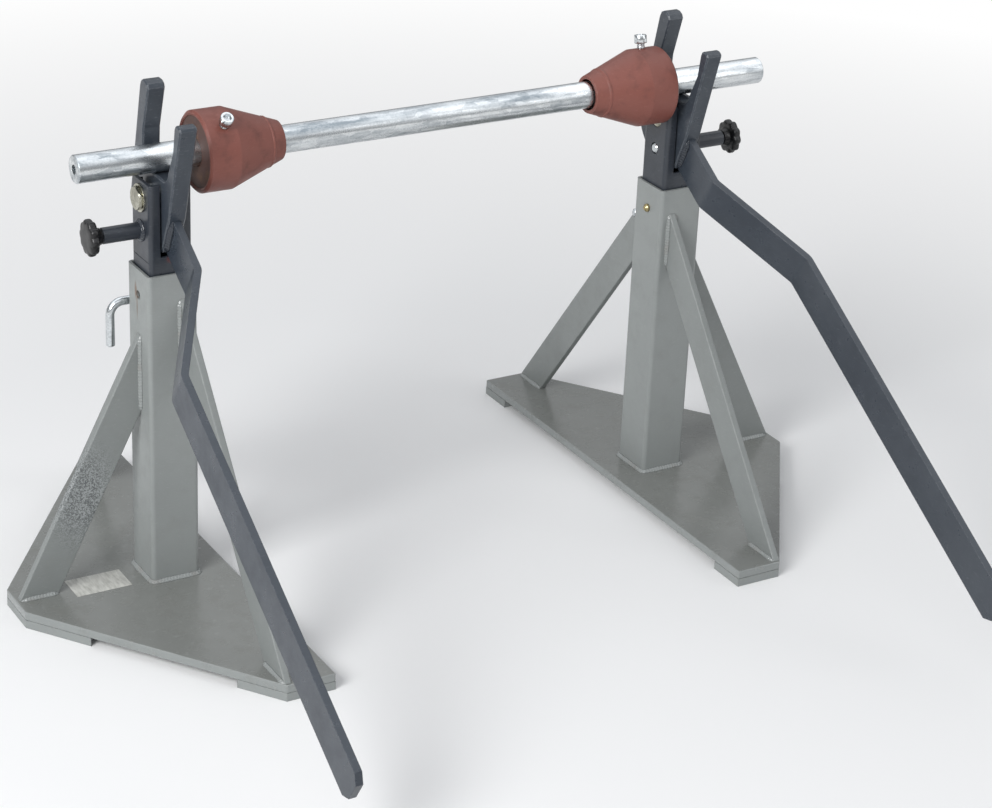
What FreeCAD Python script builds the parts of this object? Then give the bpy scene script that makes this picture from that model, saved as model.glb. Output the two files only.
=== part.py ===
import FreeCAD
import Part
import math
import os

from FreeCAD import Vector

# Cable drum jack: two steel stands, a round shaft in their cradles and two clamping cones.
# Sizes are millimetres. X runs along the shaft, Y points away from the operator, Z is up.
# Everything is drawn for the left stand, about its column, and the right stand mirrors it.

# Layout
STAND_SPAN = 800.0
SHAFT_DIAMETER = 38.0
SHAFT_LEFT_OVERHANG = 120.0
SHAFT_RIGHT_OVERHANG = 140.0
SHAFT_CHAMFER = 1.5
CENTRE_HOLE_DIAMETER = 13.0
CENTRE_HOLE_DEPTH = 10.0

# Base plate and its pads
BASE_INNER_REACH = 82.0
BASE_OUTER_REACH = 220.0
BASE_HALF_LENGTH = 360.0
BASE_CORNER_WIDTH = 70.0
BASE_THICKNESS = 12.0
PAD_THICKNESS = 12.0
PAD_LENGTH = 60.0
EDGE_BREAK = 1.0

# Column and telescopic inner tube
COLUMN_SIDE = 70.0
COLUMN_WALL = 4.0
COLUMN_BELOW_PIVOT = 100.0
TUBE_SIDE = 60.0
TUBE_WALL = 5.0
TUBE_ABOVE_PIVOT = 24.0
TUBE_CORNER = 6.0
FORK_SLOT_WIDTH = 30.0
FORK_FLOOR_CLEARANCE = 1.0
CHEEK_CLEARANCE = 1.5
SCRIBE_HEIGHT = 16.0
SCRIBE_DEPTH = 0.8
HEIGHT_STEP = 50.0
HEIGHT_STEPS = 3

# Flat bar braces
BRACE_WIDTH = 50.0
BRACE_THICKNESS = 10.0
OUTER_BRACE_BELOW_COLUMN_TOP = 91.0
OUTER_BRACE_FOOT = 216.0
SIDE_BRACE_BELOW_COLUMN_TOP = 36.0
SIDE_BRACE_FOOT = 357.0
SIDE_BRACE_OFFSET = 15.0

# Height pin, kept in a hole of the back brace, and the guide screw
PIN_DIAMETER = 12.0
PIN_HOLE_DIAMETER = 12.6
PIN_LEG = 88.0
PIN_HANDLE = 62.0
PIN_BEND = 18.0
PIN_HANDLE_OFFSET = 58.0
PIN_BEHIND_COLUMN = 8.0
PIN_KEEPER_BELOW_BRACE_TOP = 24.0
PIN_HOLE_BELOW_COLUMN_TOP = 36.0
GUIDE_SCREW_HEAD = 12.0
GUIDE_SCREW_SHANK = 8.0
GUIDE_SLOT_CLEARANCE = 1.0

# Pivot, plunger and knob
PIVOT_HEIGHT = 576.0
PIVOT_DIAMETER = 25.0
PIVOT_HEX = 30.0
PIVOT_HEX_HEIGHT = 5.0
WASHER_DIAMETER = 38.0
WASHER_THICKNESS = 2.5
SPACER_DIAMETER = 34.0
PLUNGER_DROP = 45.0
PLUNGER_DIAMETER = 14.0
PLUNGER_TIP_PROUD = 1.0
TIP_HOLE_DIAMETER = 17.0
SLEEVE_DIAMETER = 22.0
SLEEVE_LENGTH = 55.0
KNOB_GAP = 1.0
KNOB_DIAMETER = 50.0
KNOB_THICKNESS = 13.0
KNOB_LOBES = 10
KNOB_LOBE_DIAMETER = 12.0
KNOB_HUB_LENGTH = 8.0
RUNNING_CLEARANCE = 0.05
SIDE_PLAY = 0.1

# Cradle plate, measured from the pivot
PLATE_THICKNESS = 25.0
PLATE_RADIUS = 75.0
SEAT_HEIGHT = 51.5
SEAT_GAP = 0.3
SEAT_FLAT_FRONT = 30.0
SEAT_FLAT_BACK = 12.0
SEAT_CORNER_OUT = 0.71
SEAT_CORNER_UP = 0.29
WALL_RISE = 50.0
REAR_CORNER_RISE = 20.0
REAR_WALL_FOOT = 31.0
REAR_WALL_TOP = 29.0
REAR_FINGER_HEIGHT = 150.0
REAR_FINGER_FRONT = 11.0
REAR_FINGER_BACK = 37.0
REAR_TIP_ROUND = 9.0
FRONT_CORNER_RISE = 14.0
FRONT_WALL_FOOT = 50.0
FRONT_WALL_TOP = 67.0
FRONT_FINGER_HEIGHT = 120.0
FRONT_FINGER_BACK = 72.0
FRONT_FINGER_FRONT = 90.0
FRONT_TIP_ROUND = 6.0
PLATE_SHOULDER = 51.0
PLATE_SHOULDER_DROP = 18.0
PLATE_CHIN = 28.0
PLATE_HEEL_ANGLE = 11.5
LIFT_ANGLE = 80.0
PLATE_EDGE_BREAK = 2.0
PLATE_SLOT_CLEARANCE = 0.3

# Lever arm, a flat bar that jogs outwards
ARM_SLOPE = 32.0
ARM_WIDTH = 56.0
ARM_THICKNESS = 10.0
ARM_DROP = 19.0
ARM_LENGTH = 865.0
ARM_FIRST_BEND = 131.0
ARM_SECOND_BEND = 284.0
ARM_JOG = 77.0
ARM_BEND_RADIUS = 12.0
ARM_END_CHAMFER = 12.0

# Cones
CONE_LENGTH = 120.0
CONE_BAND = 43.0
CONE_LARGE_DIAMETER = 110.0
CONE_SMALL_DIAMETER = 54.0
CONE_WALL = 5.0
CONE_RIM_BREAK = 3.0
CONE_GAP_LEFT = 17.0
CONE_GAP_RIGHT = 0.5
WEB_THICKNESS = 6.0
WEB_RECESS = 2.0
HUB_DIAMETER = 64.0
HUB_LENGTH = 42.0
HUB_BORE_CLEARANCE = 0.3
SCREW_FROM_RIM = 27.0
SCREW_DIAMETER = 12.0
SCREW_HEAD_DIAMETER = 18.0
SCREW_HEAD_HEIGHT = 12.0
SCREW_SOCKET = 10.0
SCREW_SOCKET_DEPTH = 6.0
SCREW_HEAD_RADIUS = 62.0
SCREW_SHAFT_GAP = 0.1
LEFT_SCREW_TILT = 38.0
RIGHT_SCREW_TILT = -12.0

# Places worked out from the sizes above
COLUMN_X = -STAND_SPAN / 2
PLATE_TOP = PAD_THICKNESS + BASE_THICKNESS
COLUMN_TOP = PIVOT_HEIGHT - COLUMN_BELOW_PIVOT
TUBE_TOP = PIVOT_HEIGHT + TUBE_ABOVE_PIVOT
FORK_BOTTOM = PIVOT_HEIGHT - PLATE_RADIUS - FORK_FLOOR_CLEARANCE
OUTER_BRACE_TOP = COLUMN_TOP - OUTER_BRACE_BELOW_COLUMN_TOP
SIDE_BRACE_TOP = COLUMN_TOP - SIDE_BRACE_BELOW_COLUMN_TOP
PIN_KEEPER_Z = SIDE_BRACE_TOP - PIN_KEEPER_BELOW_BRACE_TOP
PIN_HOLE_Z = COLUMN_TOP - PIN_HOLE_BELOW_COLUMN_TOP
SHAFT_LENGTH = STAND_SPAN + SHAFT_LEFT_OVERHANG + SHAFT_RIGHT_OVERHANG
SHAFT_HEIGHT = PIVOT_HEIGHT + SEAT_HEIGHT
PLUNGER_HEIGHT = PIVOT_HEIGHT - PLUNGER_DROP
ARM_COS = math.cos(math.radians(ARM_SLOPE))
ARM_SIN = math.sin(math.radians(ARM_SLOPE))
ARM_TOP_EDGE = ARM_DROP - ARM_WIDTH / 2
ARM_REACH = ARM_LENGTH * ARM_COS - (ARM_TOP_EDGE + ARM_END_CHAMFER) * ARM_SIN
FRAME_SHIFT = (ARM_REACH - BASE_HALF_LENGTH) / 2


def block(x0, x1, y0, y1, z0, z1):
    """Box between two corners."""
    return Part.makeBox(x1 - x0, y1 - y0, z1 - z0, Vector(x0, y0, z0))


def rod_x(diameter, x0, x1, y, z):
    """Round bar along X."""
    return Part.makeCylinder(diameter / 2, x1 - x0, Vector(x0, y, z), Vector(1, 0, 0))


def prism(points, direction):
    """Closed outline of points, pushed along a direction."""
    wire = Part.makePolygon(points + [points[0]])
    return Part.Face(wire).extrude(direction)


def prism_x(outline, x0, x1):
    """Outline of (y, z) points, pushed from x0 to x1."""
    return prism([Vector(x0, y, z) for y, z in outline], Vector(x1 - x0, 0, 0))


def hexagon_x(across_flats, x0, x1, y, z):
    """Hexagonal head along X with its outer corners turned off."""
    radius = across_flats / math.sqrt(3)
    corners = [math.radians(60 * i + 30) for i in range(6)]
    head = prism_x([(y + radius * math.cos(a), z + radius * math.sin(a)) for a in corners], x0, x1)
    turned = rod_x(2 * radius, x0, x1, y, z)
    turned = turned.makeChamfer(radius * 0.12, turned.Edges)
    return head.common(turned)


def square_tube(side, wall, corner, z0, z1):
    """Square tube about the column axis with rounded corners, open at both ends."""
    half = side / 2
    outer = block(COLUMN_X - half, COLUMN_X + half, -half, half, z0, z1)
    upright = [e for e in outer.Edges if abs(e.tangentAt(e.FirstParameter).z) > 0.9]
    outer = outer.makeFillet(corner, upright)
    inside = half - wall
    bore = block(COLUMN_X - inside, COLUMN_X + inside, -inside, inside, z0 - 1, z1 + 1)
    return outer.cut(bore)


def base_outline(z):
    """Triangle with its three corners cut off, seen from above."""
    inner = COLUMN_X + BASE_INNER_REACH
    outer = COLUMN_X - BASE_OUTER_REACH
    shoulder = inner - BASE_CORNER_WIDTH
    half_apex = BASE_CORNER_WIDTH / 2
    back = [(inner, BASE_HALF_LENGTH), (shoulder, BASE_HALF_LENGTH), (outer, half_apex)]
    front = [(x, -y) for x, y in reversed(back)]
    return [Vector(x, y, z) for x, y in back + front]


def base_plate():
    plate = prism(base_outline(PAD_THICKNESS), Vector(0, 0, BASE_THICKNESS))
    return plate.makeChamfer(EDGE_BREAK, plate.Edges)


def foot_pads():
    """Three pads cut to the outline of the corners that they carry."""
    slab = prism(base_outline(0), Vector(0, 0, PAD_THICKNESS))
    inner = COLUMN_X + BASE_INNER_REACH
    outer = COLUMN_X - BASE_OUTER_REACH
    reach = BASE_HALF_LENGTH
    back = block(outer, inner, reach - PAD_LENGTH, reach, 0, PAD_THICKNESS)
    front = block(outer, inner, -reach, PAD_LENGTH - reach, 0, PAD_THICKNESS)
    apex = block(outer, outer + PAD_LENGTH, -reach, reach, 0, PAD_THICKNESS)
    pads = [slab.common(zone).Solids[0] for zone in (back, front, apex)]
    return Part.makeCompound(pads)


def column():
    tube = square_tube(COLUMN_SIDE, COLUMN_WALL, TUBE_CORNER, PLATE_TOP, COLUMN_TOP)
    half = COLUMN_SIDE / 2
    tube = tube.cut(rod_x(PIN_HOLE_DIAMETER, COLUMN_X - half - 1, COLUMN_X, 0, PIN_HOLE_Z))
    return tube.cut(rod_x(GUIDE_SCREW_SHANK, COLUMN_X, COLUMN_X + half + 1, 0, PIN_HOLE_Z))


def brace_outer():
    """Flat bar on edge from the column's outer face down to the plate's point."""
    face = COLUMN_X - COLUMN_SIDE / 2
    foot = COLUMN_X - OUTER_BRACE_FOOT
    top = OUTER_BRACE_TOP
    angle = math.atan2(top - PLATE_TOP, face - foot)
    foot_width = BRACE_WIDTH / math.sin(angle)
    face_width = BRACE_WIDTH / math.cos(angle)
    outline = [(foot, PLATE_TOP), (face, top), (face, top - face_width), (foot + foot_width, PLATE_TOP)]
    half = BRACE_THICKNESS / 2
    bar = prism([Vector(x, -half, z) for x, z in outline], Vector(0, BRACE_THICKNESS, 0))
    return break_long_edges(bar)


def brace_side(direction):
    """Flat bar on edge, parallel to the inner edge, on the front (-1) or back (+1) side."""
    face = COLUMN_SIDE / 2
    top = SIDE_BRACE_TOP
    angle = math.atan2(top - PLATE_TOP, SIDE_BRACE_FOOT - face)
    foot_width = BRACE_WIDTH / math.sin(angle)
    face_width = BRACE_WIDTH / math.cos(angle)
    foot = SIDE_BRACE_FOOT
    outline = [(foot, PLATE_TOP), (face, top), (face, top - face_width), (foot - foot_width, PLATE_TOP)]
    outline = [(direction * y, z) for y, z in outline]
    start = COLUMN_X + SIDE_BRACE_OFFSET - BRACE_THICKNESS / 2
    return break_long_edges(prism_x(outline, start, start + BRACE_THICKNESS))


def break_long_edges(bar):
    """Small chamfer on the four long sloping edges of a bar."""
    sloping = []
    for edge in bar.Edges:
        way = edge.tangentAt(edge.FirstParameter)
        if abs(way.z) > 0.1 and abs(way.z) < 0.99:
            sloping.append(edge)
    return bar.makeChamfer(EDGE_BREAK, sloping)


def pin_axis():
    """Y and Z of the height pin in its keeper hole."""
    return COLUMN_SIDE / 2 + PIN_BEHIND_COLUMN, PIN_KEEPER_Z


def brace_back():
    y, z = pin_axis()
    hole = rod_x(PIN_HOLE_DIAMETER, COLUMN_X, COLUMN_X + COLUMN_SIDE, y, z)
    return brace_side(1).cut(hole)


def height_pin():
    """Round bar bent to an L, its leg through the keeper hole, its handle hanging."""
    y, z = pin_axis()
    radius = PIN_DIAMETER / 2
    handle_x = COLUMN_X - PIN_HANDLE_OFFSET
    leg_start = handle_x + PIN_BEND
    leg = Part.makeCylinder(radius, PIN_LEG - PIN_BEND, Vector(leg_start, y, z), Vector(1, 0, 0))
    tip = [e for e in leg.Edges if abs(e.CenterOfMass.x - leg_start - PIN_LEG + PIN_BEND) < 0.01]
    leg = leg.makeChamfer(radius * 0.3, tip)
    section = Part.Wire(Part.makeCircle(radius, Vector(leg_start, y, z), Vector(1, 0, 0)))
    corner = Vector(leg_start, y, z - PIN_BEND)
    bend = Part.Face(section).revolve(corner, Vector(0, -1, 0), 90)
    drop = Part.makeCylinder(radius, PIN_HANDLE - PIN_BEND, Vector(handle_x, y, z - PIN_BEND), Vector(0, 0, -1))
    end = [e for e in drop.Edges if abs(e.CenterOfMass.z - z + PIN_HANDLE) < 0.01]
    drop = drop.makeChamfer(radius * 0.15, end)
    return leg.fuse(bend).fuse(drop).removeSplitter()


def guide_screw():
    """Round-headed screw in the column's inner face, its tip in the inner tube's long slot."""
    face = COLUMN_X + COLUMN_SIDE / 2
    z = PIN_HOLE_Z
    top = face + GUIDE_SCREW_HEAD / 2
    head = rod_x(GUIDE_SCREW_HEAD, face, top, 0, z)
    head = head.makeChamfer(GUIDE_SCREW_HEAD / 4, [e for e in head.Edges if abs(e.CenterOfMass.x - top) < 0.01])
    tip = COLUMN_X + TUBE_SIDE / 2 - TUBE_WALL / 2
    shank = rod_x(GUIDE_SCREW_SHANK - 2 * RUNNING_CLEARANCE, tip, face + 1, 0, z)
    return head.fuse(shank)


def cheek_corner(reach):
    """What the cheeks lose at the back, so that the shaft clears them as the cradle swings."""
    swing = SEAT_HEIGHT - SHAFT_DIAMETER / 2 - CHEEK_CLEARANCE
    corner = block(COLUMN_X - reach, COLUMN_X + reach, 0, reach, PIVOT_HEIGHT, TUBE_TOP + 1)
    return corner.cut(rod_x(2 * swing, COLUMN_X - reach - 1, COLUMN_X + reach + 1, 0, PIVOT_HEIGHT))


def inner_tube():
    """Square tube with a fork at its head, pin holes outside and a guide slot inside."""
    tube = square_tube(TUBE_SIDE, TUBE_WALL, TUBE_CORNER, PLATE_TOP, TUBE_TOP)
    half = TUBE_SIDE / 2
    reach = half + 1
    slot = FORK_SLOT_WIDTH / 2
    tube = tube.cut(block(COLUMN_X - slot, COLUMN_X + slot, -reach, reach, FORK_BOTTOM, TUBE_TOP + 1))
    tube = tube.cut(cheek_corner(reach))
    pivot_bore = PIVOT_DIAMETER + 2 * RUNNING_CLEARANCE
    tube = tube.cut(rod_x(pivot_bore, COLUMN_X - reach, COLUMN_X + reach, 0, PIVOT_HEIGHT))
    plunger_bore = PLUNGER_DIAMETER + 2 * RUNNING_CLEARANCE
    tube = tube.cut(rod_x(plunger_bore, COLUMN_X - reach, COLUMN_X, 0, PLUNGER_HEIGHT))
    tube = tube.cut(rod_x(TIP_HOLE_DIAMETER, COLUMN_X, COLUMN_X + reach, 0, PLUNGER_HEIGHT))
    for step in range(1, HEIGHT_STEPS + 1):
        hole_z = PIN_HOLE_Z - step * HEIGHT_STEP
        tube = tube.cut(rod_x(PIN_HOLE_DIAMETER, COLUMN_X - reach, COLUMN_X, 0, hole_z))
    slot_half = GUIDE_SCREW_SHANK / 2 + GUIDE_SLOT_CLEARANCE
    low = PIN_HOLE_Z - HEIGHT_STEPS * HEIGHT_STEP - slot_half
    tube = tube.cut(block(COLUMN_X + 1, COLUMN_X + reach, -slot_half, slot_half, low, PIN_HOLE_Z + slot_half))
    scribe = COLUMN_TOP + SCRIBE_HEIGHT
    line = block(COLUMN_X - reach, COLUMN_X - half + SCRIBE_DEPTH, -half, half, scribe, scribe + 1)
    return tube.cut(line)


def pivot_bolt():
    half = TUBE_SIDE / 2
    head = COLUMN_X - half - WASHER_THICKNESS
    hexagon = hexagon_x(PIVOT_HEX, head - PIVOT_HEX_HEIGHT, head, 0, PIVOT_HEIGHT)
    shank = rod_x(PIVOT_DIAMETER, head, COLUMN_X + half, 0, PIVOT_HEIGHT)
    end = [e for e in shank.Edges if abs(e.CenterOfMass.x - COLUMN_X - half) < 0.01]
    return hexagon.fuse(shank.makeChamfer(EDGE_BREAK, end))


def ring_x(outer, inner, x0, x1, z):
    """Washer or spacer about an X axis."""
    return rod_x(outer, x0, x1, 0, z).cut(rod_x(inner, x0 - 1, x1 + 1, 0, z))


def pivot_washer():
    face = COLUMN_X - TUBE_SIDE / 2
    bore = PIVOT_DIAMETER + 2 * RUNNING_CLEARANCE
    return ring_x(WASHER_DIAMETER, bore, face - WASHER_THICKNESS, face, PIVOT_HEIGHT)


def pivot_spacers():
    """Two rings that hold the cradle plate in the middle of the fork."""
    bore = PIVOT_DIAMETER + 2 * RUNNING_CLEARANCE
    wall = TUBE_SIDE / 2 - TUBE_WALL
    plate = PLATE_THICKNESS / 2 + SIDE_PLAY
    rings = []
    for start, end in ((-wall, -plate), (plate, wall)):
        rings.append(ring_x(SPACER_DIAMETER, bore, COLUMN_X + start, COLUMN_X + end, PIVOT_HEIGHT))
    return Part.makeCompound(rings)


def plunger_sleeve():
    face = COLUMN_X - TUBE_SIDE / 2
    bore = PLUNGER_DIAMETER + 2 * RUNNING_CLEARANCE
    ring = ring_x(SLEEVE_DIAMETER, bore, face - SLEEVE_LENGTH, face, PLUNGER_HEIGHT)
    rim = [e for e in ring.Edges if abs(e.CenterOfMass.x - face + SLEEVE_LENGTH) < 0.01]
    return ring.makeChamfer(EDGE_BREAK, rim)


def plunger_pin():
    """Plunger bolt, through both cheeks of the fork, with a tapered tip."""
    start = COLUMN_X - TUBE_SIDE / 2 - SLEEVE_LENGTH - KNOB_GAP - KNOB_HUB_LENGTH
    end = COLUMN_X + TUBE_SIDE / 2 + PLUNGER_TIP_PROUD
    bolt = rod_x(PLUNGER_DIAMETER, start, end, 0, PLUNGER_HEIGHT)
    tip = [e for e in bolt.Edges if abs(e.CenterOfMass.x - end) < 0.01]
    return bolt.makeChamfer(PLUNGER_DIAMETER * 0.12, tip)


def star_knob():
    """Lobed hand knob: round lobes on a disc, with a hub towards the sleeve."""
    hub_end = COLUMN_X - TUBE_SIDE / 2 - SLEEVE_LENGTH - KNOB_GAP
    disc_end = hub_end - KNOB_HUB_LENGTH
    start = disc_end - KNOB_THICKNESS
    lobe_radius = KNOB_LOBE_DIAMETER / 2
    ring_radius = KNOB_DIAMETER / 2 - lobe_radius
    knob = rod_x(2 * ring_radius, start, disc_end, 0, PLUNGER_HEIGHT)
    for i in range(KNOB_LOBES):
        angle = 2 * math.pi * i / KNOB_LOBES
        y = ring_radius * math.cos(angle)
        z = PLUNGER_HEIGHT + ring_radius * math.sin(angle)
        knob = knob.fuse(rod_x(2 * lobe_radius, start, disc_end, y, z))
    knob = knob.removeSplitter()
    hub = rod_x(SLEEVE_DIAMETER, disc_end, hub_end, 0, PLUNGER_HEIGHT)
    socket = rod_x(PLUNGER_DIAMETER, disc_end, hub_end, 0, PLUNGER_HEIGHT)
    return knob.fuse(hub.cut(socket))


def round_tip(start, end, top, size):
    """Points over a finger's tip, whose two corners are cut twice."""
    way = 1 if end > start else -1
    rise = [(start, top - size), (start + way * size / 3, top - size / 3), (start + way * size, top)]
    fall = [(end - way * size, top), (end - way * size / 3, top - size / 3), (end, top - size)]
    return rise + fall


def cradle_outline():
    """Edge of the cradle plate in (y, z) about the pivot: fingers, seat and quadrant."""
    seat_z = SEAT_HEIGHT - SHAFT_DIAMETER / 2 - SEAT_GAP
    heel = math.radians(PLATE_HEEL_ANGLE)
    rear = [(PLATE_RADIUS * math.cos(heel), -PLATE_RADIUS * math.sin(heel))]
    rear += round_tip(REAR_FINGER_BACK, REAR_FINGER_FRONT, REAR_FINGER_HEIGHT, REAR_TIP_ROUND)
    rear += [(REAR_WALL_TOP, seat_z + WALL_RISE), (REAR_WALL_FOOT, seat_z + REAR_CORNER_RISE)]
    front = [(-FRONT_WALL_FOOT, seat_z + FRONT_CORNER_RISE), (-FRONT_WALL_TOP, seat_z + WALL_RISE)]
    front += round_tip(-FRONT_FINGER_BACK, -FRONT_FINGER_FRONT, FRONT_FINGER_HEIGHT, FRONT_TIP_ROUND)
    front += [(-PLATE_SHOULDER, -PLATE_SHOULDER_DROP)]
    front += [(-PLATE_CHIN, -math.sqrt(PLATE_RADIUS ** 2 - PLATE_CHIN ** 2))]
    return rear, front, seat_z


def seat_corner(flat, wall):
    """Middle of the curve that joins the seat's flat to the wall of a finger."""
    y = flat[0] + SEAT_CORNER_OUT * (wall[0] - flat[0])
    return y, flat[1] + SEAT_CORNER_UP * (wall[1] - flat[1])


def cradle_face(x):
    rear, front, seat_z = cradle_outline()

    def point(place):
        return Vector(x, place[0], PIVOT_HEIGHT + place[1])

    edges = [Part.makeLine(point(a), point(b)) for a, b in zip(rear, rear[1:])]
    flat_rear = (SEAT_FLAT_BACK, seat_z)
    flat_front = (-SEAT_FLAT_FRONT, seat_z)
    rear_arc = Part.Arc(point(rear[-1]), point(seat_corner(flat_rear, rear[-1])), point(flat_rear))
    front_arc = Part.Arc(point(flat_front), point(seat_corner(flat_front, front[0])), point(front[0]))
    edges += [rear_arc.toShape(), Part.makeLine(point(flat_rear), point(flat_front)), front_arc.toShape()]
    edges += [Part.makeLine(point(a), point(b)) for a, b in zip(front, front[1:])]
    bottom = Part.Arc(point(front[-1]), point((0, -PLATE_RADIUS)), point(rear[0]))
    edges.append(bottom.toShape())
    return Part.Face(Part.Wire(Part.__sortEdges__(edges)))


def plunger_slot():
    """Curved slot about the pivot in which the plunger bolt lets the plate swing."""
    half = PLATE_THICKNESS / 2 + 1
    width = PLUNGER_DIAMETER / 2 + PLATE_SLOT_CLEARANCE
    x0 = COLUMN_X - half
    ring = rod_x(2 * (PLUNGER_DROP + width), x0, x0 + 2 * half, 0, PIVOT_HEIGHT)
    ring = ring.cut(rod_x(2 * (PLUNGER_DROP - width), x0, x0 + 2 * half, 0, PIVOT_HEIGHT))
    far = 2 * PLATE_RADIUS
    turn = math.radians(LIFT_ANGLE)
    wedge = [(0, 0), (0, -far), (far, -far), (far * math.sin(turn), -far * math.cos(turn))]
    sector = prism_x([(y, z + PIVOT_HEIGHT) for y, z in wedge], x0, x0 + 2 * half)
    slot = ring.common(sector)
    for angle in (0.0, turn):
        y = PLUNGER_DROP * math.sin(angle)
        z = PIVOT_HEIGHT - PLUNGER_DROP * math.cos(angle)
        slot = slot.fuse(rod_x(2 * width, x0, x0 + 2 * half, y, z))
    return slot


def cradle_plate():
    half = PLATE_THICKNESS / 2
    plate = cradle_face(COLUMN_X - half).extrude(Vector(PLATE_THICKNESS, 0, 0))
    plate = plate.makeChamfer(PLATE_EDGE_BREAK, edges_across_x(plate))
    bore = PIVOT_DIAMETER + 2 * RUNNING_CLEARANCE
    plate = plate.cut(rod_x(bore, COLUMN_X - half - 1, COLUMN_X + half + 1, 0, PIVOT_HEIGHT))
    return plate.cut(plunger_slot())


def edges_across_x(shape):
    """Edges that lie in a plane square to X: the rims of a plate."""
    rims = []
    for edge in shape.Edges:
        box = edge.BoundBox
        if box.XLength < 0.01:
            rims.append(edge)
    return rims


def arm_point(along, across, x):
    """Point of the lever, along the bar and across it below the pivot line."""
    y = -along * ARM_COS + across * ARM_SIN
    z = PIVOT_HEIGHT - along * ARM_SIN - across * ARM_COS
    return Vector(COLUMN_X + x, y, z)


def lever_arm():
    """Flat bar with two equal bends, its end corners cut, its root cut to the plate."""
    half = ARM_THICKNESS / 2
    run = ARM_SECOND_BEND - ARM_FIRST_BEND
    mitre = half * math.tan(math.atan2(ARM_JOG, run) / 2)
    root = PLATE_RADIUS * 2 / 3
    inner = [(root, half), (ARM_FIRST_BEND + mitre, half), (ARM_SECOND_BEND + mitre, half - ARM_JOG),
             (ARM_LENGTH, half - ARM_JOG)]
    outer = [(ARM_LENGTH, -half - ARM_JOG), (ARM_SECOND_BEND - mitre, -half - ARM_JOG),
             (ARM_FIRST_BEND - mitre, -half), (root, -half)]
    top = ARM_DROP - ARM_WIDTH / 2
    bottom = ARM_DROP + ARM_WIDTH / 2
    across = arm_point(0, bottom, 0) - arm_point(0, top, 0)
    bar = prism([arm_point(s, top, x) for s, x in inner + outer], across)
    bends = {ARM_BEND_RADIUS: [outer[2], inner[2]], ARM_BEND_RADIUS + ARM_THICKNESS: [inner[1], outer[1]]}
    for radius, places in bends.items():
        for s, x in places:
            middle = arm_point(s, ARM_DROP, x)
            edge = min(bar.Edges, key=lambda e: (e.CenterOfMass - middle).Length)
            bar = bar.makeFillet(radius, [edge])
    reach = ARM_JOG + ARM_THICKNESS
    for corner, turn in ((top, 1), (bottom, -1)):
        clip = [(ARM_LENGTH + 1, corner - turn), (ARM_LENGTH + 1, corner + turn * ARM_END_CHAMFER),
                (ARM_LENGTH, corner + turn * ARM_END_CHAMFER), (ARM_LENGTH - ARM_END_CHAMFER, corner),
                (ARM_LENGTH - ARM_END_CHAMFER, corner - turn)]
        bar = bar.cut(prism([arm_point(s, t, -reach - 1) for s, t in clip], Vector(ARM_THICKNESS + reach, 0, 0)))
    plate_half = PLATE_THICKNESS / 2
    seat = cradle_face(COLUMN_X - plate_half).extrude(Vector(PLATE_THICKNESS, 0, 0))
    return bar.cut(seat)


def shaft():
    start = COLUMN_X - SHAFT_LEFT_OVERHANG
    bar = rod_x(SHAFT_DIAMETER, start, start + SHAFT_LENGTH, 0, SHAFT_HEIGHT)
    bar = bar.makeChamfer(SHAFT_CHAMFER, edges_across_x(bar))
    return bar.cut(rod_x(CENTRE_HOLE_DIAMETER, start - 1, start + CENTRE_HOLE_DEPTH, 0, SHAFT_HEIGHT))


def cone_rim(gap):
    """X of a left cone's large end, a gap away from the inner tube's face."""
    return COLUMN_X + TUBE_SIDE / 2 + gap


def revolved(profile):
    """Solid of (x, radius) points turned about the shaft."""
    points = [Vector(x, 0, SHAFT_HEIGHT + r) for x, r in profile]
    face = Part.Face(Part.makePolygon(points + [points[0]]))
    return face.revolve(Vector(0, 0, SHAFT_HEIGHT), Vector(1, 0, 0), 360)


def screw_way(tilt):
    """Direction of a clamping screw, tilted from upright towards the operator."""
    angle = math.radians(tilt)
    return Vector(0, -math.sin(angle), math.cos(angle))


def screw_bore(rim, tilt, diameter):
    base = Vector(rim + SCREW_FROM_RIM, 0, SHAFT_HEIGHT)
    return Part.makeCylinder(diameter / 2, CONE_LARGE_DIAMETER, base, screw_way(tilt))


def cone_shell(rim, tilt):
    """Hollow cone: a short band, then a taper to the small end."""
    large = CONE_LARGE_DIAMETER / 2
    small = CONE_SMALL_DIAMETER / 2
    end = rim + CONE_LENGTH
    outside = [(rim, large - CONE_RIM_BREAK), (rim + CONE_RIM_BREAK, large), (rim + CONE_BAND, large), (end, small)]
    inside = [(end, small - CONE_WALL), (rim + CONE_BAND, large - CONE_WALL), (rim, large - CONE_WALL)]
    return revolved(outside + inside).cut(screw_bore(rim, tilt, SCREW_DIAMETER))


def cone_web(rim, tilt):
    """End disc with its hub, which rides on the shaft inside the cone and takes the screw."""
    face = rim + WEB_RECESS
    bore = SHAFT_DIAMETER / 2 + HUB_BORE_CLEARANCE
    edge = CONE_LARGE_DIAMETER / 2 - CONE_WALL
    hub = HUB_DIAMETER / 2
    profile = [(face, bore), (face, edge), (face + WEB_THICKNESS, edge), (face + WEB_THICKNESS, hub),
               (face + HUB_LENGTH, hub), (face + HUB_LENGTH, bore)]
    return revolved(profile).cut(screw_bore(rim, tilt, SCREW_DIAMETER))


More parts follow.
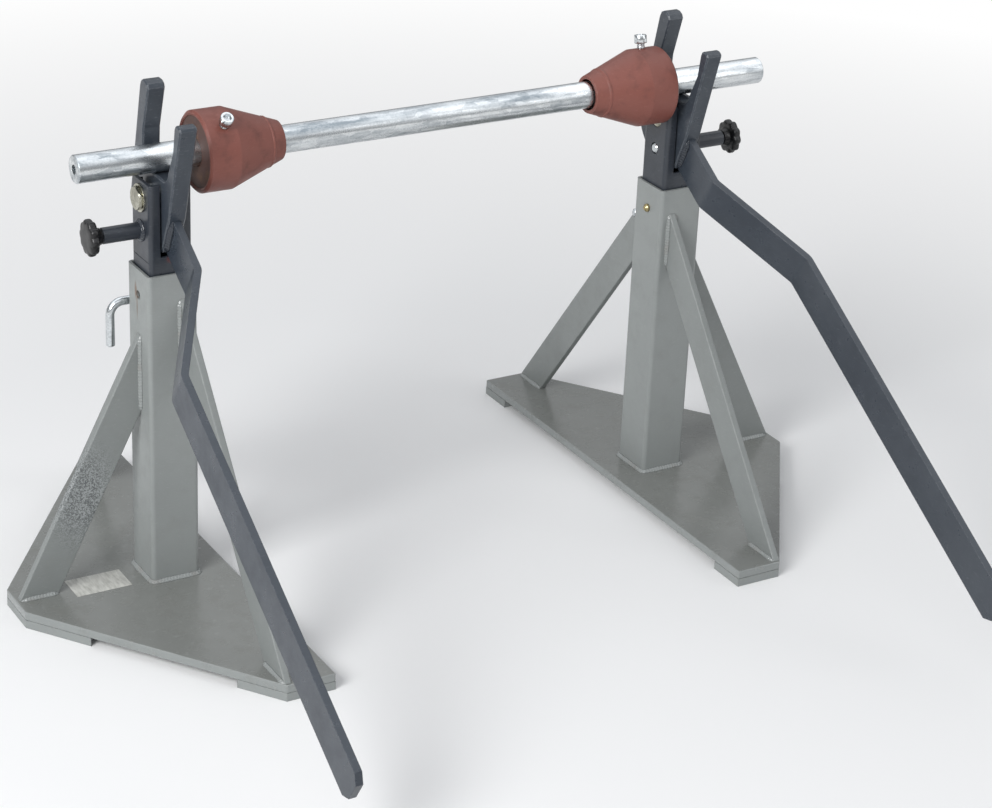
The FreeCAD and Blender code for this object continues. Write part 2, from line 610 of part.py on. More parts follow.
def cone_screw(rim, tilt):
    """Socket cap screw, square to the shaft, that clamps the cone."""
    low = SHAFT_DIAMETER / 2 + SCREW_SHAFT_GAP
    top = SCREW_HEAD_RADIUS + SCREW_HEAD_HEIGHT
    shank = rod_x(SCREW_DIAMETER - 2 * RUNNING_CLEARANCE, low, SCREW_HEAD_RADIUS, 0, 0)
    head = rod_x(SCREW_HEAD_DIAMETER, SCREW_HEAD_RADIUS, top, 0, 0)
    head = head.makeChamfer(EDGE_BREAK, [e for e in head.Edges if abs(e.CenterOfMass.x - top) < 0.01])
    flat_radius = SCREW_SOCKET / math.sqrt(3)
    corners = [math.radians(60 * i) for i in range(6)]
    hexagon = [(flat_radius * math.cos(a), flat_radius * math.sin(a)) for a in corners]
    socket = prism_x(hexagon, top - SCREW_SOCKET_DEPTH, top + 1)
    screw = shank.fuse(head).cut(socket)
    screw.rotate(Vector(0, 0, 0), Vector(0, 1, 0), -90)
    screw.rotate(Vector(0, 0, 0), Vector(1, 0, 0), tilt)
    screw.translate(Vector(rim + SCREW_FROM_RIM, 0, SHAFT_HEIGHT))
    return screw


def save(name, shape):
    """Move a finished piece to the part's own origin and write it."""
    shape = shape.copy()
    shape.translate(Vector(0, FRAME_SHIFT, 0))
    shape.exportStep("parts/" + name + ".step")


def mirrored(shape):
    return shape.mirror(Vector(0, 0, 0), Vector(1, 0, 0))


def main():
    os.makedirs("parts", exist_ok=True)
    twins = {
        "base_plate": base_plate(),
        "foot_pads": foot_pads(),
        "column": column(),
        "brace_outer": brace_outer(),
        "brace_front": brace_side(-1),
        "brace_back": brace_back(),
        "guide_screw": guide_screw(),
        "height_pin": height_pin(),
        "inner_tube": inner_tube(),
        "pivot_bolt": pivot_bolt(),
        "pivot_washer": pivot_washer(),
        "pivot_spacers": pivot_spacers(),
        "plunger_sleeve": plunger_sleeve(),
        "plunger_pin": plunger_pin(),
        "star_knob": star_knob(),
        "cradle_plate": cradle_plate(),
        "lever_arm": lever_arm(),
    }
    for name, shape in twins.items():
        save(name + "_left", shape)
        save(name + "_right", mirrored(shape))
    for maker in (cone_shell, cone_web, cone_screw):
        save(maker.__name__ + "_left", maker(cone_rim(CONE_GAP_LEFT), LEFT_SCREW_TILT))
        save(maker.__name__ + "_right", mirrored(maker(cone_rim(CONE_GAP_RIGHT), RIGHT_SCREW_TILT)))
    save("shaft", shaft())


main()
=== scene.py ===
import math

import bpy
import numpy as np
from mathutils import Matrix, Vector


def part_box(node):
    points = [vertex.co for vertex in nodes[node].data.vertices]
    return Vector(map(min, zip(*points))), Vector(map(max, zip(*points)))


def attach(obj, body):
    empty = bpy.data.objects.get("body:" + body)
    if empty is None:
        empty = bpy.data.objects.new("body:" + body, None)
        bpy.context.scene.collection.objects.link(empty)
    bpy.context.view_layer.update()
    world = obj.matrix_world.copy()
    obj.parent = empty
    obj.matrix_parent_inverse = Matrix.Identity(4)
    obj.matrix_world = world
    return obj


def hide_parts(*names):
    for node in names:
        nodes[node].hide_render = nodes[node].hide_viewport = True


# The looks of a cable drum jack: two painted steel stands, a zinc-coated shaft and two primed cones.
# All lengths are metres in the frame of the solids. The left stand is drawn; the right one mirrors it.

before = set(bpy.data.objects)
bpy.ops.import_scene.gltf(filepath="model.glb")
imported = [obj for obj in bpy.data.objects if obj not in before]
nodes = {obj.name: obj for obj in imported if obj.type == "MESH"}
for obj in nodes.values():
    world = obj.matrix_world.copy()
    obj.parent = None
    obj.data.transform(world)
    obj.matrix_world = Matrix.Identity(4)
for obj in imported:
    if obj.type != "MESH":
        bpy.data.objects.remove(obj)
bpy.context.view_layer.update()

COLUMN_X = -0.4
COLUMN_Y = float((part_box("column_left")[0][1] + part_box("column_left")[1][1]) / 2)
PLATE_TOP = float(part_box("base_plate_left")[1][2])
COLUMN_HALF = 0.035
COLUMN_CORNER = 0.006
TUBE_HALF = 0.030
BRACE_WIDTH = 0.05
ARM_HALF = 0.005
PIVOT_Z = 0.576
PLUNGER_Z = 0.531
SLEEVE_RADIUS = 0.011
SHAFT_Z = float((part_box("shaft")[0][2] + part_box("shaft")[1][2]) / 2)
SIDES = ("left", "right")

# Weld beads: leg of each kind, length of one ripple and of one step along the bead.
COLUMN_BEAD = 0.0048
BRACE_BEAD = 0.0045
LEVER_BEAD = 0.006
SLEEVE_BEAD = 0.0045
CONE_END_BEAD = 0.0019
BEAD_PITCH = 0.0045
COLUMN_BEAD_PITCH = 0.0046
BEAD_STEP = 0.0007
BEAD_END_GAP = 0.002

# Where the lever arm meets the cradle plate, as (y, z) from the pivot, and the arm's slope there.
LEVER_BEAD_TOP = (-0.0498, -0.0207)
LEVER_BEAD_FOOT = (-0.0282, -0.0691)
ARM_SLOPE = math.radians(32)

# Cones: radius of the large end, start and slope of the taper, and the places of end bead and seam.
CONE_RADIUS = 0.055
CONE_STRAIGHT = 0.043
CONE_TAPER = 0.028 / 0.077
CONE_END_RADIUS = 0.0498
CONE_FACE_DEPTH = 0.002
SEAM_PLACE = 0.101
SEAM_HALF = 0.0025
SEAM_HEIGHT = 0.0009
SEAM_SINK = 0.0001

# Cap screws: heights from the shaft's axis, radii, thread and place along the cone.
SCREW_PLACE = 0.027
SCREW_TIP = 0.0192
SCREW_HEAD = 0.062
SCREW_HEAD_HEIGHT = 0.012
SCREW_HEAD_PROFILE = ((0.0, 0.0055), (0.0, 0.0086), (0.0006, 0.009), (0.0106, 0.009), (0.0117, 0.0084),
                      (0.012, 0.0078), (0.012, 0.0064))
THREAD_PITCH = 0.00175
THREAD_ROOT = 0.00495
THREAD_DEPTH = 0.00095
SOCKET_HALF_FLATS = 0.005

# Star knob; the profile is (depth from its outer face, share of the radius, share of the lobes).
KNOB_RADIUS = 0.0248
KNOB_LOBES = 10
KNOB_LOBE_DEPTH = 0.11
KNOB_BORE = 0.0071
KNOB_PROFILE = ((0.0002, 0.30, 0.0), (0.0000, 0.55, 0.1), (0.0005, 0.80, 0.5), (0.0012, 0.90, 0.8),
                (0.0022, 0.965, 1.0), (0.0038, 0.995, 1.0), (0.0065, 1.0, 1.0), (0.0092, 0.995, 1.0),
                (0.0108, 0.965, 1.0), (0.0120, 0.90, 0.8), (0.0127, 0.80, 0.5), (0.0130, 0.64, 0.1))

# Bare plate on the left base.
LABEL_PLACE = (-0.5016, COLUMN_Y - 0.0016)
LABEL_LENGTH = 0.080
LABEL_WIDTH = 0.049
LABEL_POINTS = 64

# Floor, light and camera; the camera's values were solved from corners seen in the photograph.
FLOOR_RADIUS = 14.0
FLOOR_POINTS = 96
AMBIENT = 0.54
CAMERA_TURN = math.radians(30.962)
CAMERA_DOWN = math.radians(24.883)
CAMERA_ROLL = math.radians(2.54)
CAMERA_LENS = 96.88
CAMERA_PLACE = (-1.6945, COLUMN_Y - 3.0280, 1.8095)


# ---- Colours, as they show in plain light, save a few that hold painted shade or sheen ----

def tone(red, green, blue):
    """Linear colour from the 0 to 255 values of a screen."""
    def linear(value):
        value = value / 255
        return value / 12.92 if value <= 0.04045 else ((value + 0.055) / 1.055) ** 2.4
    return (linear(red), linear(green), linear(blue), 1.0)


STAND_GREY = tone(135, 139, 138)
STAND_GREY_WORN = tone(165, 169, 167)
STAND_GREY_DIRT = tone(110, 110, 105)
# Darker tone for the base plate's upward faces: painted shade, not a colour of the paint.
PLATE_TOP_SHADE_GREY = tone(123, 125, 122)
# The braces' grey is the stand's paint made darker: painted shade.
BRACE_SHADE_GREY = tone(127, 131, 130)
# Grain tones of the rough paint patch: the light one is painted glint, the dark one painted shade.
GRAIN_GLINT = tone(156, 160, 160)
GRAIN_SHADE = tone(76, 79, 81)
HEAD_GREY = tone(39, 44, 52)
HEAD_GREY_WORN = tone(112, 118, 124)
HEAD_GREY_DIRT = tone(32, 34, 38)
# The lever and cradle grey is the head's dark paint made lighter: painted sheen.
ARM_SHEEN_GREY = tone(45, 52, 61)
CONE_RED = tone(119, 66, 56)
CONE_RED_WORN = tone(160, 110, 100)
CONE_RED_DIRT = tone(80, 47, 42)
CONE_FACE = tone(74, 52, 46)
RUST = tone(104, 80, 62)
RUST_RED = tone(84, 38, 38)
ZINC_LIGHT = tone(236, 239, 240)
ZINC_DARK = tone(138, 146, 152)
PLATED_LIGHT = tone(222, 226, 228)
PLATED_DARK = tone(140, 146, 150)
PIVOT_LIGHT = tone(196, 194, 180)
PIVOT_DARK = tone(104, 101, 86)
BRASS_LIGHT = tone(188, 174, 132)
BRASS_DARK = tone(118, 104, 72)
KNOB_BLACK = tone(14, 14, 16)
KNOB_DUST = tone(30, 30, 33)
LABEL_PALE = tone(196, 196, 190)
LABEL_DULL = tone(160, 160, 154)


# ---- Node helpers ----

def new_group(name, inputs, outputs):
    """Empty shader group with its named sockets; returns the group and its two end nodes."""
    group = bpy.data.node_groups.new(name, "ShaderNodeTree")
    for label, kind, value in inputs:
        socket = group.interface.new_socket(label, in_out="INPUT", socket_type=kind)
        socket.default_value = value
    for label, kind in outputs:
        group.interface.new_socket(label, in_out="OUTPUT", socket_type=kind)
    return group, group.nodes.new("NodeGroupInput"), group.nodes.new("NodeGroupOutput")


def noise(tree, vector, scale, detail=3.0, roughness=0.5):
    """Value of a noise texture at the coordinates."""
    node = tree.nodes.new("ShaderNodeTexNoise")
    node.inputs["Scale"].default_value = scale
    node.inputs["Detail"].default_value = detail
    node.inputs["Roughness"].default_value = roughness
    tree.links.new(vector, node.inputs["Vector"])
    return node.outputs["Fac"]


def stretched(tree, vector, scale):
    """The coordinates, drawn out along some axes so that a pattern runs in streaks."""
    node = tree.nodes.new("ShaderNodeMapping")
    node.inputs["Scale"].default_value = scale
    tree.links.new(vector, node.inputs["Vector"])
    return node.outputs["Vector"]


def span(tree, value, low, high, to_low=0.0, to_high=1.0):
    """Value between low and high, brought to another range and held inside it."""
    node = tree.nodes.new("ShaderNodeMapRange")
    node.inputs["From Min"].default_value = low
    node.inputs["From Max"].default_value = high
    node.inputs["To Min"].default_value = to_low
    node.inputs["To Max"].default_value = to_high
    tree.links.new(value, node.inputs["Value"])
    return node.outputs["Result"]


def sums(tree, operation, first, second):
    """One Math node; each side is a number or another node's value."""
    node = tree.nodes.new("ShaderNodeMath")
    node.operation = operation
    for place, value in enumerate((first, second)):
        if isinstance(value, (int, float)):
            node.inputs[place].default_value = value
        else:
            tree.links.new(value, node.inputs[place])
    return node.outputs["Value"]


def blend_colour(tree, factor, first, second):
    """First colour at factor 0, second at 1; each is a fixed value or another node's."""
    node = tree.nodes.new("ShaderNodeMix")
    node.data_type = "RGBA"
    for place, value in ((0, factor), (6, first), (7, second)):
        if isinstance(value, (int, float, tuple)):
            node.inputs[place].default_value = value
        else:
            tree.links.new(value, node.inputs[place])
    return node.outputs[2]


# ---- Shared effects ----

def make_edge_group():
    """Rounded edges and where they are: the slanted normal near an edge, set against the true one."""
    group, start, end = new_group(
        "worn edges",
        [("Radius", "NodeSocketFloat", 0.0015)],
        [("Normal", "NodeSocketVector"), ("Edge", "NodeSocketFloat")],
    )
    bevel = group.nodes.new("ShaderNodeBevel")
    bevel.samples = 4
    group.links.new(start.outputs["Radius"], bevel.inputs["Radius"])
    shape = group.nodes.new("ShaderNodeNewGeometry")
    dot = group.nodes.new("ShaderNodeVectorMath")
    dot.operation = "DOT_PRODUCT"
    group.links.new(bevel.outputs["Normal"], dot.inputs[0])
    group.links.new(shape.outputs["Normal"], dot.inputs[1])
    edge = span(group, dot.outputs["Value"], 0.995, 0.80)
    group.links.new(bevel.outputs["Normal"], end.inputs["Normal"])
    group.links.new(edge, end.inputs["Edge"])
    return group


def make_paint_group():
    """Sprayed paint over steel: cloudy tone, dirt in patches, fine orange peel and rubbed edges."""
    colour = "NodeSocketColor"
    number = "NodeSocketFloat"
    group, start, end = new_group(
        "sprayed paint",
        [("Paint", colour, STAND_GREY), ("Worn", colour, STAND_GREY_WORN),
         ("Dirt", colour, STAND_GREY_DIRT), ("Edge", number, 0.0), ("Wear", number, 0.6),
         ("Dirt Amount", number, 0.14),
         ("Smooth", number, 0.38), ("Dull", number, 0.58)],
        [("Color", colour), ("Roughness", number), ("Height", number)],
    )
    place = group.nodes.new("ShaderNodeTexCoord").outputs["Object"]
    clouds = noise(group, place, 9.0, 4.0, 0.55)
    patches = noise(group, place, 34.0, 5.0, 0.62)
    scuffs = noise(group, stretched(group, place, (30.0, 30.0, 190.0)), 4.0, 3.0, 0.6)
    peel = noise(group, place, 620.0, 2.0, 0.5)
    ragged = noise(group, place, 210.0, 3.0, 0.6)
    dirty = sums(group, "MULTIPLY", span(group, patches, 0.50, 0.74), start.outputs["Dirt Amount"])
    lifted = sums(group, "MULTIPLY", span(group, clouds, 0.35, 0.75), 0.12)
    base = blend_colour(group, lifted, start.outputs["Paint"], start.outputs["Worn"])
    base = blend_colour(group, dirty, base, start.outputs["Dirt"])
    rubbed = sums(group, "MULTIPLY", start.outputs["Edge"], span(group, ragged, 0.36, 0.62))
    rubbed = sums(group, "MULTIPLY", rubbed, start.outputs["Wear"])
    base = blend_colour(group, rubbed, base, start.outputs["Worn"])
    faint = sums(group, "MULTIPLY", span(group, scuffs, 0.60, 0.72), 0.22)
    base = blend_colour(group, faint, base, start.outputs["Worn"])
    group.links.new(base, end.inputs["Color"])
    gloss = group.nodes.new("ShaderNodeMix")
    group.links.new(span(group, patches, 0.3, 0.7), gloss.inputs[0])
    group.links.new(start.outputs["Smooth"], gloss.inputs[2])
    group.links.new(start.outputs["Dull"], gloss.inputs[3])
    group.links.new(gloss.outputs[0], end.inputs["Roughness"])
    height = sums(group, "ADD", sums(group, "MULTIPLY", peel, 0.5), sums(group, "MULTIPLY", clouds, 0.5))
    group.links.new(height, end.inputs["Height"])
    return group


def make_mark_group():
    """A ragged spot at one place of the part: how far a point lies from its centre, against its size."""
    vector = "NodeSocketVector"
    group, start, end = new_group(
        "local mark",
        [("Centre", vector, (0.0, 0.0, 0.0)), ("Size", vector, (0.01, 0.01, 0.01))],
        [("Mask", "NodeSocketFloat")],
    )
    place = group.nodes.new("ShaderNodeTexCoord").outputs["Object"]
    away = group.nodes.new("ShaderNodeVectorMath")
    away.operation = "SUBTRACT"
    group.links.new(place, away.inputs[0])
    group.links.new(start.outputs["Centre"], away.inputs[1])
    share = group.nodes.new("ShaderNodeVectorMath")
    share.operation = "DIVIDE"
    group.links.new(away.outputs["Vector"], share.inputs[0])
    group.links.new(start.outputs["Size"], share.inputs[1])
    reach = group.nodes.new("ShaderNodeVectorMath")
    reach.operation = "LENGTH"
    group.links.new(share.outputs["Vector"], reach.inputs[0])
    ragged = noise(group, place, 260.0, 4.0, 0.65)
    spot = sums(group, "SUBTRACT", reach.outputs["Value"], ragged)
    group.links.new(span(group, spot, 0.55, -0.1, 0.0, 0.8), end.inputs["Mask"])
    return group


def make_zinc_group():
    """Zinc coat: crystals of differing shine with long drawn streaks and a few dull runs."""
    colour = "NodeSocketColor"
    number = "NodeSocketFloat"
    group, start, end = new_group(
        "zinc coat",
        [("Light", colour, ZINC_LIGHT), ("Dark", colour, ZINC_DARK), ("Crystal", number, 160.0),
         ("Streak", number, 0.5), ("Bright", number, 0.22), ("Dull", number, 0.48)],
        [("Color", colour), ("Roughness", number), ("Height", number)],
    )
    place = group.nodes.new("ShaderNodeTexCoord").outputs["Object"]
    crystals = group.nodes.new("ShaderNodeTexVoronoi")
    group.links.new(start.outputs["Crystal"], crystals.inputs["Scale"])
    group.links.new(stretched(group, place, (0.35, 1.0, 1.0)), crystals.inputs["Vector"])
    shade = group.nodes.new("ShaderNodeSeparateColor")
    group.links.new(crystals.outputs["Color"], shade.inputs["Color"])
    flow = noise(group, stretched(group, place, (1.0, 9.0, 9.0)), 6.0, 5.0, 0.6)
    grain = noise(group, place, 420.0, 3.0, 0.6)
    runs = sums(group, "MULTIPLY", span(group, flow, 0.42, 0.70), start.outputs["Streak"])
    mixed = sums(group, "ADD", sums(group, "MULTIPLY", shade.outputs["Red"], 0.35), runs)
    mixed = sums(group, "ADD", mixed, sums(group, "MULTIPLY", span(group, grain, 0.45, 0.7), 0.18))
    shine = blend_colour(group, mixed, start.outputs["Light"], start.outputs["Dark"])
    group.links.new(shine, end.inputs["Color"])
    gloss = group.nodes.new("ShaderNodeMix")
    group.links.new(mixed, gloss.inputs[0])
    group.links.new(start.outputs["Bright"], gloss.inputs[2])
    group.links.new(start.outputs["Dull"], gloss.inputs[3])
    group.links.new(gloss.outputs[0], end.inputs["Roughness"])
    height = sums(group, "ADD", sums(group, "MULTIPLY", grain, 0.6), sums(group, "MULTIPLY", flow, 0.8))
    group.links.new(height, end.inputs["Height"])
    return group


EDGES = make_edge_group()
PAINT = make_paint_group()
MARK = make_mark_group()
ZINC = make_zinc_group()


# ---- Materials ----

# In a list of marks, this stands for a patch of grains where another mark has its colour; the grains are
# painted glints and painted shade of rough paint.
GRAINS = "grains"


def new_material(name):
    """Material with its Principled shader; returns the material, its tree and the shader."""
    material = bpy.data.materials.new(name)
    material.use_nodes = True
    return material, material.node_tree, material.node_tree.nodes["Principled BSDF"]


def place_group(tree, group, values):
    """A shared effect in a material, with its own values."""
    node = tree.nodes.new("ShaderNodeGroup")
    node.node_tree = group
    for label, value in values.items():
        node.inputs[label].default_value = value
    return node


def relief(tree, shader, height, normal, strength, distance):
    """Bump from a height on top of the rounded edges."""
    bump = tree.nodes.new("ShaderNodeBump")
    bump.inputs["Strength"].default_value = strength
    bump.inputs["Distance"].default_value = distance
    tree.links.new(height, bump.inputs["Height"])
    tree.links.new(normal, bump.inputs["Normal"])
    tree.links.new(bump.outputs["Normal"], shader.inputs["Normal"])


def glint_and_shade_grains(tree):
    """Light and dark grains about 2 mm across, where the paint has come out rough: painted glints and
    painted shade of that rough paint.
    """
    place = tree.nodes.new("ShaderNodeTexCoord").outputs["Object"]
    grains = noise(tree, place, 560.0, 2.0, 0.6)
    return blend_colour(tree, span(tree, grains, 0.42, 0.58), GRAIN_SHADE, GRAIN_GLINT)


def paint_material(name, paint, worn, dirt, radius=0.0015, strength=0.12, marks=(), top=None, **values):
    """Sprayed paint with its own tones.

    marks are (colour or GRAINS, centre, size) spots on top of it, and top is a darker tone painted as shade
    on the faces that look up.
    """
    material, tree, shader = new_material(name)
    edges = place_group(tree, EDGES, {"Radius": radius})
    coat = place_group(tree, PAINT, {"Paint": paint, "Worn": worn, "Dirt": dirt, **values})
    tree.links.new(edges.outputs["Edge"], coat.inputs["Edge"])
    # Faces that look up blend towards the top tone: painted shade.
    if top is not None:
        parts = tree.nodes.new("ShaderNodeSeparateXYZ")
        tree.links.new(tree.nodes.new("ShaderNodeNewGeometry").outputs["Normal"], parts.inputs["Vector"])
        level = span(tree, parts.outputs["Z"], 0.75, 0.95)
        tree.links.new(blend_colour(tree, level, paint, top), coat.inputs["Paint"])
    colour = coat.outputs["Color"]
    for tint, centre, size in marks:
        mark = place_group(tree, MARK, {"Centre": centre, "Size": size})
        if tint == GRAINS:
            tint = glint_and_shade_grains(tree)
        colour = blend_colour(tree, mark.outputs["Mask"], colour, tint)
    tree.links.new(colour, shader.inputs["Base Color"])
    tree.links.new(coat.outputs["Roughness"], shader.inputs["Roughness"])
    relief(tree, shader, coat.outputs["Height"], edges.outputs["Normal"], strength, 0.0006)
    return material


def metal_material(name, light, dark, radius=0.0008, strength=0.10, **values):
    """Metal under a zinc coat or a thin plating, with its own two tones."""
    material, tree, shader = new_material(name)
    edges = place_group(tree, EDGES, {"Radius": radius})
    coat = place_group(tree, ZINC, {"Light": light, "Dark": dark, **values})
    shader.inputs["Metallic"].default_value = 1.0
    tree.links.new(coat.outputs["Color"], shader.inputs["Base Color"])
    tree.links.new(coat.outputs["Roughness"], shader.inputs["Roughness"])
    relief(tree, shader, coat.outputs["Height"], edges.outputs["Normal"], strength, 0.0004)
    return material


def knob_material():
    """Moulded black plastic with a fine grain and dust on its edges."""
    material, tree, shader = new_material("moulded black knob")
    place = tree.nodes.new("ShaderNodeTexCoord").outputs["Object"]
    edges = place_group(tree, EDGES, {"Radius": 0.001})
    grain = noise(tree, place, 900.0, 2.0, 0.5)
    dust = noise(tree, place, 120.0, 4.0, 0.6)
    rubbed = sums(tree, "MAXIMUM", sums(tree, "MULTIPLY", edges.outputs["Edge"], 0.5),
                  span(tree, dust, 0.5, 0.8, 0.0, 0.5))
    tree.links.new(blend_colour(tree, rubbed, KNOB_BLACK, KNOB_DUST), shader.inputs["Base Color"])
    tree.links.new(span(tree, dust, 0.3, 0.7, 0.28, 0.42), shader.inputs["Roughness"])
    relief(tree, shader, grain, edges.outputs["Normal"], 0.18, 0.0003)
    return material


def label_material():
    """Bare pale plate with dull smears, nothing printed on it."""
    material, tree, shader = new_material("bare pale plate")
    place = tree.nodes.new("ShaderNodeTexCoord").outputs["Object"]
    smears = noise(tree, stretched(tree, place, (60.0, 14.0, 14.0)), 3.0, 4.0, 0.6)
    tree.links.new(blend_colour(tree, span(tree, smears, 0.4, 0.65), LABEL_PALE, LABEL_DULL),
                   shader.inputs["Base Color"])
    tree.links.new(span(tree, smears, 0.3, 0.7, 0.3, 0.5), shader.inputs["Roughness"])
    edges = place_group(tree, EDGES, {"Radius": 0.0002})
    relief(tree, shader, smears, edges.outputs["Normal"], 0.1, 0.0003)
    return material


# Rough paint patch on the left outer brace; its grains are painted glints and shade.
GRAIN_PATCH = ((GRAINS, (COLUMN_X - 0.124, COLUMN_Y, 0.165), (0.055, 0.03, 0.088)),)
COLUMN_MARKS = (
    (RUST, (COLUMN_X - COLUMN_HALF, COLUMN_Y + 0.008, 0.444), (0.004, 0.0045, 0.015)),
    (RUST, (COLUMN_X - COLUMN_HALF, COLUMN_Y + 0.004, 0.424), (0.004, 0.0020, 0.022)),
)
TUBE_MARKS = ((RUST_RED, (COLUMN_X, COLUMN_Y - TUBE_HALF, 0.496), (0.008, 0.004, 0.007)),)
STAND_PAINT = paint_material("stand grey paint", STAND_GREY, STAND_GREY_WORN, STAND_GREY_DIRT)
COLUMN_PAINT = paint_material("column grey paint", STAND_GREY, STAND_GREY_WORN, STAND_GREY_DIRT,
                              marks=COLUMN_MARKS)
# Braces use the darker grey as painted shade on the stand's paint.
BRACE_PAINT = paint_material("brace grey paint", BRACE_SHADE_GREY, STAND_GREY_WORN, STAND_GREY_DIRT,
                             marks=GRAIN_PATCH)
# The plate's upward faces take the darker top tone as painted shade.
PLATE_PAINT = paint_material("scuffed base plate paint", STAND_GREY, STAND_GREY_WORN, STAND_GREY_DIRT,
                             strength=0.14, top=PLATE_TOP_SHADE_GREY,
                             **{"Dirt Amount": 0.34, "Smooth": 0.16, "Dull": 0.34})
HEAD_PAINT = paint_material("dark head paint", HEAD_GREY, HEAD_GREY_WORN, HEAD_GREY_DIRT, marks=TUBE_MARKS,
                            **{"Dirt Amount": 0.25, "Smooth": 0.26, "Dull": 0.42, "Wear": 0.5})
# Lever arm and cradle plate take the lighter grey: painted sheen on the head's dark paint.
ARM_PAINT = paint_material("dark lever paint", ARM_SHEEN_GREY, HEAD_GREY_WORN, HEAD_GREY_DIRT,
                           **{"Dirt Amount": 0.18, "Smooth": 0.24, "Dull": 0.40, "Wear": 0.65})
CRADLE_PAINT = paint_material("dark cradle paint", ARM_SHEEN_GREY, tone(150, 155, 160), HEAD_GREY_DIRT, 0.0018,
                              **{"Dirt Amount": 0.2, "Smooth": 0.26, "Dull": 0.42, "Wear": 0.8})
STAND_WELD = paint_material("grey weld bead", STAND_GREY, STAND_GREY_WORN, RUST, 0.0006, 0.3,
                            **{"Dirt Amount": 0.3, "Smooth": 0.12, "Dull": 0.34})
HEAD_WELD = paint_material("dark weld bead", HEAD_GREY, HEAD_GREY_WORN, HEAD_GREY_DIRT, 0.0006, 0.3,
                           **{"Smooth": 0.10, "Dull": 0.24})
CONE_PRIMER = paint_material("red cone primer", CONE_RED, CONE_RED_WORN, CONE_RED_DIRT, 0.0018, 0.2,
                             **{"Dirt Amount": 0.6, "Smooth": 0.38, "Dull": 0.60, "Wear": 1.0})
CONE_END = paint_material("rusty cone end", CONE_FACE, CONE_RED_WORN, RUST, 0.0010, 0.3,
                          **{"Dirt Amount": 0.9, "Smooth": 0.5, "Dull": 0.7, "Wear": 0.5})
SHAFT_ZINC = metal_material("shaft zinc coat", ZINC_LIGHT, ZINC_DARK, 0.0008, 0.16,
                            **{"Streak": 0.75, "Bright": 0.17, "Dull": 0.42})
BRIGHT_PLATE = metal_material("bright plated steel", PLATED_LIGHT, PLATED_DARK,
                              **{"Crystal": 700.0, "Streak": 0.3, "Bright": 0.16, "Dull": 0.36})
PIVOT_PLATE = metal_material("yellowed plated steel", PIVOT_LIGHT, PIVOT_DARK,
                             **{"Crystal": 600.0, "Streak": 0.5, "Bright": 0.2, "Dull": 0.4})
BRASS = metal_material("dull brass", BRASS_LIGHT, BRASS_DARK, **{"Crystal": 800.0, "Streak": 0.4})
KNOB_PLASTIC = knob_material()
LABEL_FINISH = label_material()

FINISHES = {
    "base_plate": PLATE_PAINT, "foot_pads": STAND_PAINT, "column": COLUMN_PAINT, "brace_outer": BRACE_PAINT,
    "brace_front": BRACE_PAINT, "brace_back": BRACE_PAINT, "guide_screw": BRASS, "height_pin": BRIGHT_PLATE,
    "inner_tube": HEAD_PAINT, "pivot_bolt": PIVOT_PLATE, "pivot_washer": PIVOT_PLATE,
    "pivot_spacers": BRIGHT_PLATE, "plunger_sleeve": HEAD_PAINT, "plunger_pin": BRIGHT_PLATE,
    "star_knob": KNOB_PLASTIC, "cradle_plate": CRADLE_PAINT, "lever_arm": ARM_PAINT, "shaft": SHAFT_ZINC,
    "cone_shell": CONE_PRIMER, "cone_web": CONE_END, "cone_screw": BRIGHT_PLATE,
}


def dress_nodes():
    """Each solid keeps its mesh and gets the finish of its own piece."""
    for name, solid in nodes.items():
        kind = name.rsplit("_", 1)[0] if name.endswith(SIDES) else name
        solid.data.materials.clear()
        solid.data.materials.append(FINISHES[kind])


# ---- Surfaces ----

def grid_faces(rows, columns, closed_rows=False):
    """Quads between neighbouring rows of points; columns run round in a ring."""
    last = rows if closed_rows else rows - 1
    row = np.arange(last)[:, None]
    column = np.arange(columns)[None, :]
    after = (row + 1) % rows
    beside = (column + 1) % columns
    corners = [row * columns + column, after * columns + column,
               after * columns + beside, row * columns + beside]
    return np.stack([np.broadcast_to(c, (last, columns)) for c in corners], axis=-1).reshape(-1, 4)


def mesh_piece(name, parts, material, body):
    """One object from several (points, quads, caps) surfaces, shaded smooth, riding on a body."""
    points, faces, offset = [], [], 0
    for part_points, quads, caps in parts:
        points.append(part_points)
        faces += (quads + offset).tolist()
        faces += [[index + offset for index in cap] for cap in caps]
        offset += len(part_points)
    mesh = bpy.data.meshes.new(name)
    mesh.from_pydata(np.concatenate(points).tolist(), [], faces)
    mesh.polygons.foreach_set("use_smooth", np.ones(len(mesh.polygons), dtype=bool))
    mesh.materials.append(material)
    mesh.update()
    piece = bpy.data.objects.new(name, mesh)
    bpy.context.scene.collection.objects.link(piece)
    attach(piece, body)
    return piece


def ring_surface(rings, closed_rows=False):
    """Rings of points as one closed skin: quads between the rings and a flat cap on each end."""
    rows, columns = rings.shape[:2]
    caps = []
    if not closed_rows:
        first = list(range(columns))
        caps = [first, [(rows - 1) * columns + index for index in reversed(first)]]
    return rings.reshape(-1, 3), grid_faces(rows, columns, closed_rows), caps


def outward(part):
    """The surface with every face turned over if it encloses a negative volume."""
    points, quads, caps = part
    a, b, c, d = (points[quads[:, i]] for i in range(4))
    volume = np.einsum("ij,ij->i", a, np.cross(b, c)).sum() + np.einsum("ij,ij->i", a, np.cross(c, d)).sum()
    for cap in caps:
        corner = points[cap]
        volume += np.einsum("ij,ij->i", np.broadcast_to(corner[0], corner[1:-1].shape),
                            np.cross(corner[1:-1], corner[2:])).sum()
    if volume < 0:
        return points, quads[:, ::-1], [cap[::-1] for cap in caps]
    return part


def mirrored(part):
    """The same surface on the other side of X = 0, its faces turned back outwards."""
    points, quads, caps = part
    return points * np.array([-1.0, 1.0, 1.0]), quads[:, ::-1], [cap[::-1] for cap in caps]


def on_side(parts, side):
    """The left stand's surfaces as they are, or mirrored for the right one."""
    return parts if side == "left" else [mirrored(part) for part in parts]


